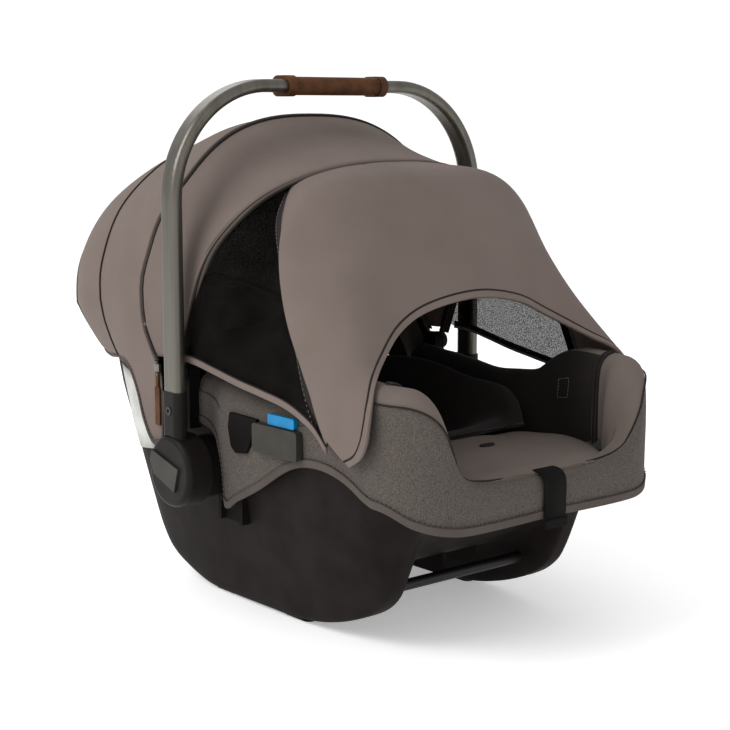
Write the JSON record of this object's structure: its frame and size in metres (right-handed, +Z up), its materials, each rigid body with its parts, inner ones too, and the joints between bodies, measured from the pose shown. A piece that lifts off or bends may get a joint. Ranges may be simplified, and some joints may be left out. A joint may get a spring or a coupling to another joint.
{
  "type": "infant car seat",
  "caption": "Rear-facing infant carrier seat on rocker rails, with a folding carry handle, a folding canopy with a drape, a padded cover and a harness.",
  "frame": {"origin": "on the floor, under the middle of the bounding box; the carry handle pivots close above it", "axes": "+Z up, +Y towards the head end, +X across the seat"},
  "size_m": [0.453, 0.703, 0.5795],
  "materials": {
    "shell_plastic": "fine matt texture, dark brown-black",
    "dark_plastic": "matt black",
    "hub_plastic": "satin black",
    "bow_plastic": "matt",
    "red_plastic": "gloss",
    "grey_plastic": "matt",
    "guide_plastic": "satin olive grey",
    "blue_plastic": "satin",
    "button_plastic": "satin olive grey",
    "foot_rubber": "matt",
    "bar_steel": "zinc plated",
    "screw_steel": "black oxide",
    "small_metal": "satin",
    "tube_aluminium": "anodised satin grey-olive",
    "brown_leather": "fine grain with stitched collars",
    "liner_foam": "expanded foam beads",
    "heather_fabric": "heathered grey-taupe knit",
    "pad_fabric": "smooth taupe jersey",
    "insert_fabric": "black knit",
    "webbing": "woven webbing",
    "canopy_fabric": "smooth taupe woven cloth with piping",
    "mesh_fabric": "open black mesh"
  },
  "bodies": {
    "root": {"seat_shell": "shell_plastic", "rocker_feet": "foot_rubber", "latch_bars": "bar_steel", "adapter_sockets": "dark_plastic", "foam_liner": "liner_foam", "splitter_plate": "bar_steel", "seat_cover": "heather_fabric", "seat_pad": "pad_fabric", "body_insert": "insert_fabric", "head_support": "insert_fabric", "harness_straps": "webbing", "shoulder_pads": "insert_fabric", "chest_clip": "dark_plastic", "crotch_strap": "webbing", "buckle_housing": "dark_plastic", "adjuster_strap": "webbing", "adjuster_housing": "dark_plastic", "belt_guide_left": "guide_plastic", "belt_guide_right": "guide_plastic", "guide_markers": "blue_plastic", "guide_flaps": "dark_plastic", "release_bracket": "dark_plastic", "handle_boss_left": "dark_plastic", "handle_boss_right": "dark_plastic", "canopy_mounts": "dark_plastic", "mid_bow": "bow_plastic", "rear_canopy": "canopy_fabric", "front_canopy": "canopy_fabric", "zip_slider_left": "small_metal", "zip_slider_right": "small_metal"},
    "handle": {"handle_tube": "tube_aluminium", "handle_sleeves": "hub_plastic", "sleeve_screws": "screw_steel", "handle_grip": "brown_leather", "handle_hub_left": "hub_plastic", "handle_hub_right": "hub_plastic", "button_springs": "small_metal"},
    "button_left": {"handle_button_left": "button_plastic"},
    "button_right": {"handle_button_right": "button_plastic"},
    "canopy": {"front_bow": "bow_plastic", "drape": "canopy_fabric", "side_window_left": "mesh_fabric", "side_window_right": "mesh_fabric"},
    "zip_pull_left": {"zip_pull_left": "brown_leather"},
    "zip_pull_right": {"zip_pull_right": "brown_leather"},
    "base_release": {"release_handle": "grey_plastic"},
    "buckle_release": {"buckle_button": "red_plastic"},
    "strap_release": {"adjuster_button": "grey_plastic"}
  },
  "joints": [
    {"name": "handle_pivot", "type": "hinge", "parent": "root", "child": "handle", "pos_m": [0, 0, 0.16], "axis": [-1, 0, 0], "range_deg": [0, 105]},
    {"name": "button_left_press", "type": "slide", "parent": "handle", "child": "button_left", "axis": [1, 0, 0], "range_m": [0, 0.005], "stiffness_N_per_m": 600, "deforming": ["button_springs"]},
    {"name": "button_right_press", "type": "slide", "parent": "handle", "child": "button_right", "axis": [-1, 0, 0], "range_m": [0, 0.005], "stiffness_N_per_m": 600, "deforming": ["button_springs"]},
    {"name": "canopy_pivot", "type": "hinge", "parent": "root", "child": "canopy", "pos_m": [0, 0.024, 0.262], "axis": [-1, 0, 0], "range_deg": [0, 60], "deforming": ["front_canopy", "drape", "side_window_left", "side_window_right"]},
    {"name": "zip_pull_left_swing", "type": "hinge", "parent": "root", "child": "zip_pull_left", "pos_m": [-0.2017, 0.05, 0.257], "axis": [1, 0, 0], "range_deg": [-30, 30]},
    {"name": "zip_pull_right_swing", "type": "hinge", "parent": "root", "child": "zip_pull_right", "pos_m": [0.2017, 0.05, 0.257], "axis": [1, 0, 0], "range_deg": [-30, 30]},
    {"name": "base_release_pull", "type": "slide", "parent": "root", "child": "base_release", "axis": [0, 0, 1], "range_m": [0, 0.012], "stiffness_N_per_m": 400},
    {"name": "buckle_press", "type": "slide", "parent": "root", "child": "buckle_release", "axis": [0, 0, -1], "range_m": [0, 0.0015], "stiffness_N_per_m": 800},
    {"name": "strap_release_press", "type": "slide", "parent": "root", "child": "strap_release", "axis": [0, 0, -1], "range_m": [0, 0.0015], "stiffness_N_per_m": 800}
  ]
}
